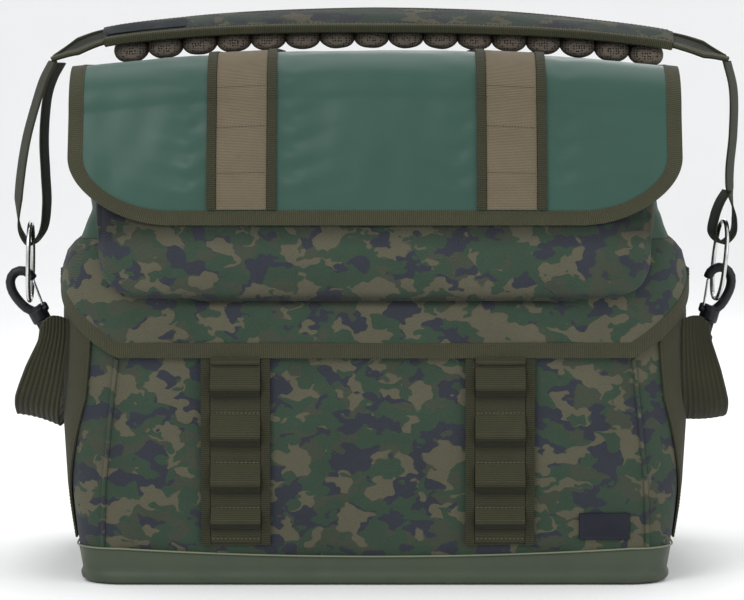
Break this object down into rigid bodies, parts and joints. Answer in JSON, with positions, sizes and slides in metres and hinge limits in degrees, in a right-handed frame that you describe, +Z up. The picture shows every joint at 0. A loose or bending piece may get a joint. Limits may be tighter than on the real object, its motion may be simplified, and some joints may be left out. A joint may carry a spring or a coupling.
{
  "type": "carryall bag",
  "caption": "Camouflage cloth carryall with a moulded base, flap lid, upper compartment under a tarpaulin flap, side handles and a padded clip-on shoulder strap.",
  "frame": {"origin": "middle of the underside of the base, on the surface that the bag stands on", "axes": "+Z up, +X along the width to the right seen from the front, the front faces -Y"},
  "size_m": [0.5873, 0.328, 0.4403],
  "materials": {
    "camouflage": "padded woven polyester with a common woodland camouflage print, matt",
    "tarp": "coated green tarpaulin, semi-gloss, lightly wrinkled",
    "base": "moulded green PVC with a fine grain",
    "tape": "olive ribbed webbing and binding tape",
    "tan": "tan woven webbing",
    "strap": "dark olive ribbed webbing",
    "mesh": "grey-brown spacer mesh over foam",
    "rubber": "dark navy soft rubber, plain",
    "plastic": "black nylon, slight sheen",
    "steel": "polished steel wire"
  },
  "bodies": {
    "root": {"base_tray": "base", "body_shell": "camouflage", "front_piping_left": "camouflage", "front_piping_right": "camouflage", "side_web_left": "tape", "side_web_right": "tape", "front_web_left": "tape", "front_web_right": "tape", "front_ladder_left": "tape", "front_ladder_right": "tape", "badge_patch": "rubber", "lid": "camouflage", "lid_binding": "tape", "upper_case": "tarp", "upper_roll": "camouflage", "flap": "tarp", "flap_binding": "tape", "flap_web_left": "tan", "flap_strip_left_1": "tape", "flap_strip_left_2": "tape", "flap_web_right": "tan", "flap_strip_right_1": "tape", "flap_strip_right_2": "tape", "strap_pad": "camouflage", "strap_binding_front": "tape", "strap_binding_back": "tape", "strap_mesh": "mesh", "strap_label": "rubber", "strap_tip_left": "strap", "strap_tip_right": "strap", "strap_web_left": "strap", "strap_web_right": "strap", "ring_left": "steel", "ring_right": "steel", "swivel_left": "plastic", "swivel_right": "plastic", "hook_tab_left": "strap", "hook_tab_right": "strap", "handle_left": "strap", "handle_right": "strap"},
    "hook_left": {"hook_left": "plastic"},
    "gate_left": {"gate_left": "steel"},
    "hook_right": {"hook_right": "plastic"},
    "gate_right": {"gate_right": "steel"}
  },
  "joints": [
    {"name": "hook_left_swivel", "type": "hinge", "parent": "root", "child": "hook_left", "pos_m": [-0.268, 0, 0.192], "axis": [-0.4695, 0, 0.8829], "range_deg": [-12, 12]},
    {"name": "gate_left_hinge", "type": "hinge", "parent": "hook_left", "child": "gate_left", "pos_m": [-0.26699, 0, 0.2033], "axis": [0, -1, 0], "range_deg": [0, 22], "stiffness_Nm_per_rad": 0.05, "springref_deg": -11.46},
    {"name": "hook_right_swivel", "type": "hinge", "parent": "root", "child": "hook_right", "pos_m": [0.268, 0, 0.192], "axis": [0.2756, 0, 0.9613], "range_deg": [-12, 12]},
    {"name": "gate_right_hinge", "type": "hinge", "parent": "hook_right", "child": "gate_right", "pos_m": [0.26466, 0, 0.20284], "axis": [0, 1, 0], "range_deg": [0, 22], "stiffness_Nm_per_rad": 0.05, "springref_deg": -11.46}
  ]
}
